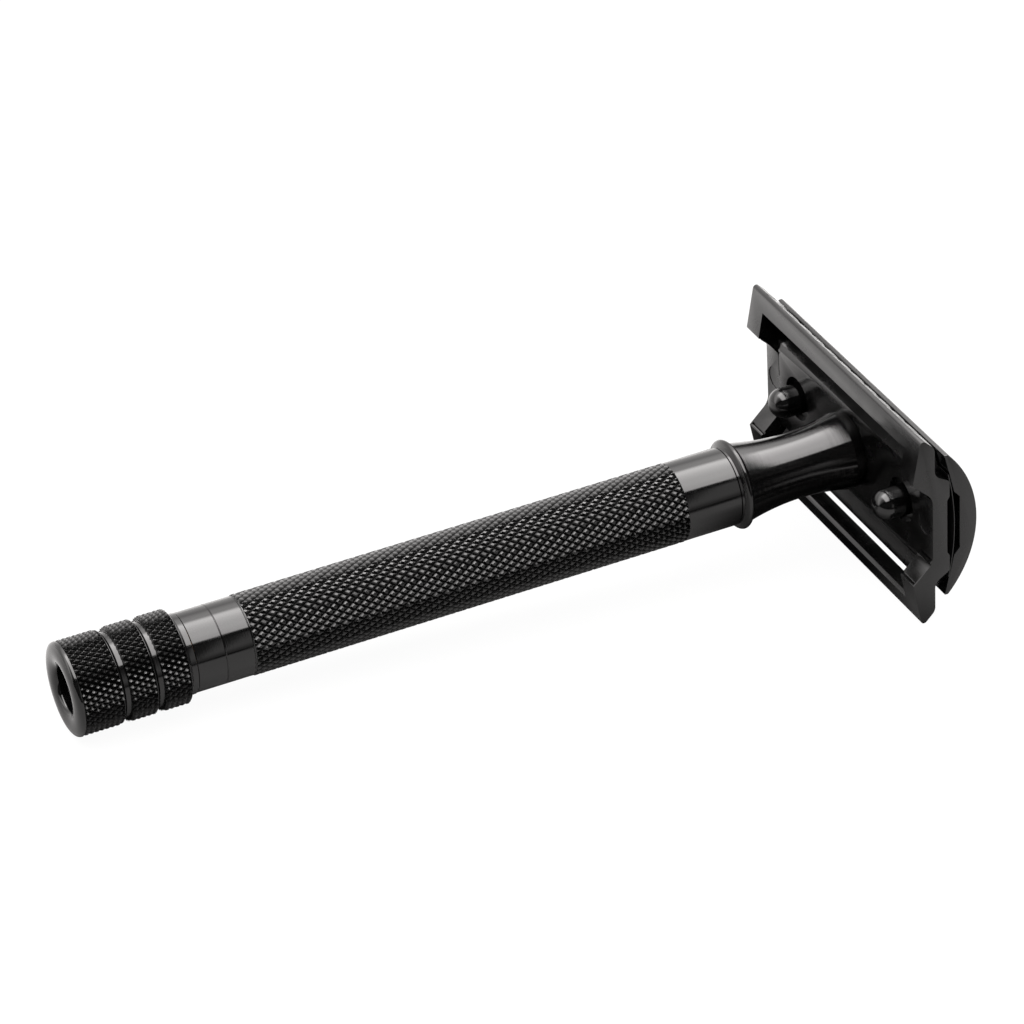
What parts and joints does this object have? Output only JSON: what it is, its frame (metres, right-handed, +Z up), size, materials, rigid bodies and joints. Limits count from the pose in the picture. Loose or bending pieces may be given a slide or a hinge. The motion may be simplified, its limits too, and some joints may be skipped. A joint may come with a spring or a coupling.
{
  "type": "safety razor",
  "caption": "Double-edge safety razor with a slim knurled handle, scalloped guard and a twist knob that draws the crowned cap and blade down onto the base plate.",
  "frame": {"origin": "centre of the bounding box at the surface the razor lies on", "axes": "+X along the handle towards the head (the handle rises 4.05 degrees from +X), +Y along the blade away from the viewer, +Z up"},
  "size_m": [0.111, 0.0428, 0.0262],
  "materials": {
    "cap": "black gloss plated",
    "base_plate": "black gloss plated",
    "neck": "black gloss plated",
    "handle_tube": "black gloss plated over a diamond knurl",
    "knob": "black gloss plated over a diamond knurl",
    "guide_pins": "black gloss plated",
    "stud_steel": "threaded steel",
    "blade_steel": "dark coated spring steel",
    "bush_bronze": "sintered bronze",
    "washer_bronze": "sintered bronze",
    "spring_steel": "spring steel",
    "rod_brass": "turned brass",
    "nut_brass": "turned brass",
    "screw_steel": "zinc plated steel"
  },
  "bodies": {
    "handle": {"handle_tube": "handle_tube", "neck": "neck", "base_plate": "base_plate", "lower_bush": "bush_bronze"},
    "twist_knob": {"knob": "knob", "knob_screw": "screw_steel", "draw_rod": "rod_brass", "draw_nut": "nut_brass", "retaining_clip": "spring_steel", "thrust_washer": "washer_bronze", "wave_washer": "spring_steel"},
    "cap_unit": {"cap": "cap", "cap_stud": "stud_steel", "guide_pin_near": "guide_pins", "guide_pin_far": "guide_pins"},
    "blade_unit": {"blade": "blade_steel"}
  },
  "joints": [
    {"name": "cap_lift", "type": "slide", "parent": "handle", "child": "cap_unit", "axis": [0.9975, 0, 0.0707], "range_m": [0, 0.0048]},
    {"name": "knob_turn", "type": "hinge", "parent": "handle", "child": "twist_knob", "pos_m": [-0.03977, 0, 0.00688], "axis": [-0.9975, 0, -0.0707], "range_deg": [0, 2160]},
    {"name": "blade_lift", "type": "slide", "parent": "handle", "child": "blade_unit", "axis": [0.9975, 0, 0.0707], "range_m": [0, 0.0024]}
  ],
  "couplings": [
    {"joint": "knob_turn", "follows": "cap_lift", "rad_per_m": 7854},
    {"joint": "blade_lift", "follows": "cap_lift", "ratio": 0.5}
  ]
}
